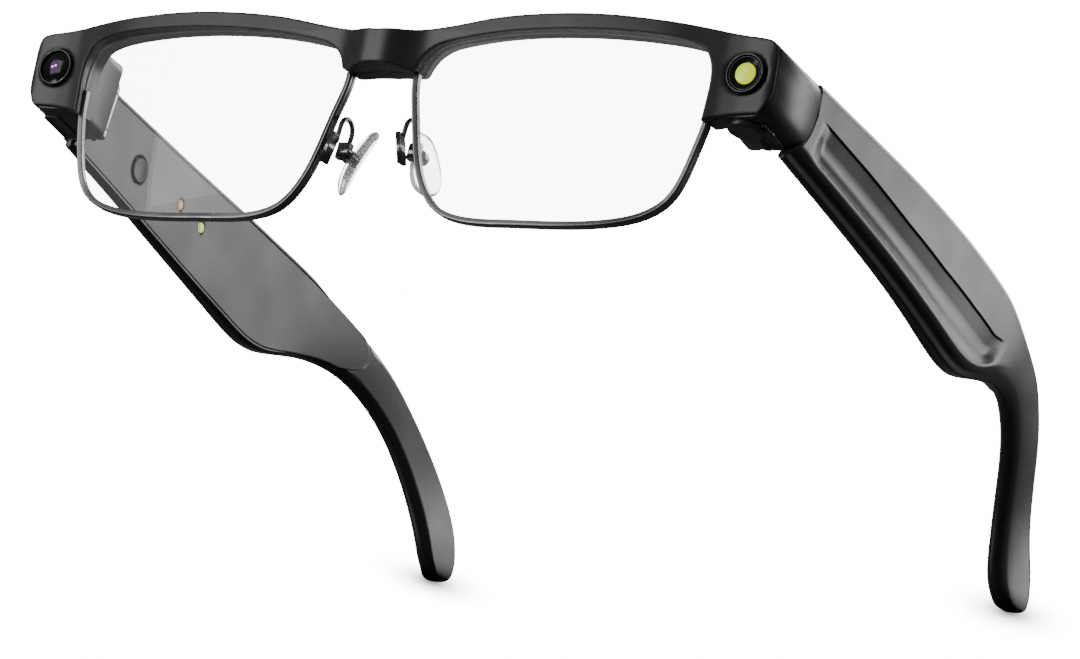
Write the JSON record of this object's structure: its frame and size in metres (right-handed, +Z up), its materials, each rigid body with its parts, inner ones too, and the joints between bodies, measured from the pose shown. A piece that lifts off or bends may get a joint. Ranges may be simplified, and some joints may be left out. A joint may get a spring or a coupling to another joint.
{
  "type": "smart glasses",
  "caption": "Half-rim camera glasses: plastic brow bar with a camera and a lamp in the endpieces, metal rims, rocking nose pads, and deep folding temples that hold the electronics.",
  "frame": {"origin": "on the table that the rims and the temple tips stand on, at the middle of the open glasses' footprint", "axes": "+Z up, -Y the way the wearer looks, +X the wearer's left"},
  "size_m": [0.152, 0.1635, 0.0379],
  "materials": {
    "brow_plastic": "fine satin moulded nylon, charcoal",
    "frame_plastic": "satin moulded nylon, graphite",
    "temple_plastic": "fine satin moulded nylon, charcoal",
    "cover_plastic": "satin moulded nylon, graphite",
    "rim_metal": "gunmetal plating, glossy",
    "hinge_metal": "bare nickel-plated steel",
    "screw_metal": "blackened steel",
    "lens_clear": "clear polycarbonate with a hard coat",
    "pad_silicone": "clear silicone",
    "ring_metal": "dark anodised ring",
    "black_gloss": "polished black window",
    "lamp_phosphor": "yellow-green phosphor under a clear lens",
    "circuit": "fibreglass board with solder mask",
    "flex": "polyimide film",
    "battery_foil": "pouch foil",
    "light_green": "diffusing light guide, green",
    "light_amber": "diffusing light guide, amber",
    "contact_gold": "gold-plated contacts"
  },
  "bodies": {
    "front": {"brow_cover": "brow_plastic", "brow_frame": "frame_plastic", "brow_flex": "flex", "endpiece_plate_left": "brow_plastic", "endpiece_plate_right": "brow_plastic", "endpiece_screws": "screw_metal", "rim_left": "rim_metal", "rim_right": "rim_metal", "lens_left": "lens_clear", "lens_right": "lens_clear", "pad_arm_left": "rim_metal", "pad_arm_right": "rim_metal", "pad_box_left": "rim_metal", "pad_box_right": "rim_metal", "camera_ring": "ring_metal", "camera_window": "black_gloss", "camera_module": "circuit", "lamp_ring": "ring_metal", "lamp_window": "black_gloss", "lamp_emitter": "lamp_phosphor", "lamp_board": "circuit", "hinge_front_left": "hinge_metal", "hinge_front_right": "hinge_metal", "hinge_pin_left": "hinge_metal", "hinge_pin_right": "hinge_metal"},
    "temple_left": {"temple_shell_left": "temple_plastic", "temple_cover_left": "cover_plastic", "hinge_rear_left": "hinge_metal", "battery": "battery_foil", "charge_contacts": "contact_gold"},
    "temple_right": {"temple_shell_right": "temple_plastic", "temple_cover_right": "cover_plastic", "hinge_rear_right": "hinge_metal", "main_board": "circuit", "power_switch": "hinge_metal", "status_light_green": "light_green", "status_light_amber": "light_amber"},
    "power_button": {"power_button": "temple_plastic"},
    "pad_left": {"nose_pad_left": "pad_silicone", "pad_boss_left": "rim_metal"},
    "pad_right": {"nose_pad_right": "pad_silicone", "pad_boss_right": "rim_metal"}
  },
  "joints": [
    {"name": "temple_left_hinge", "type": "hinge", "parent": "front", "child": "temple_left", "pos_m": [0.067, -0.0585, 0.028], "axis": [0, 0, 1], "range_deg": [0, 90]},
    {"name": "temple_right_hinge", "type": "hinge", "parent": "front", "child": "temple_right", "pos_m": [-0.067, -0.0585, 0.028], "axis": [0, 0, -1], "range_deg": [0, 80]},
    {"name": "power_button_slide", "type": "slide", "parent": "temple_right", "child": "power_button", "axis": [-1, 0, 0], "range_m": [0, 0.0004], "stiffness_N_per_m": 1500},
    {"name": "pad_left_rock", "type": "hinge", "parent": "front", "child": "pad_left", "pos_m": [0.0073, -0.0693, 0.0146], "axis": [0, 1, 0], "range_deg": [-10, 10]},
    {"name": "pad_right_rock", "type": "hinge", "parent": "front", "child": "pad_right", "pos_m": [-0.0073, -0.0693, 0.0146], "axis": [0, 1, 0], "range_deg": [-10, 10]}
  ]
}
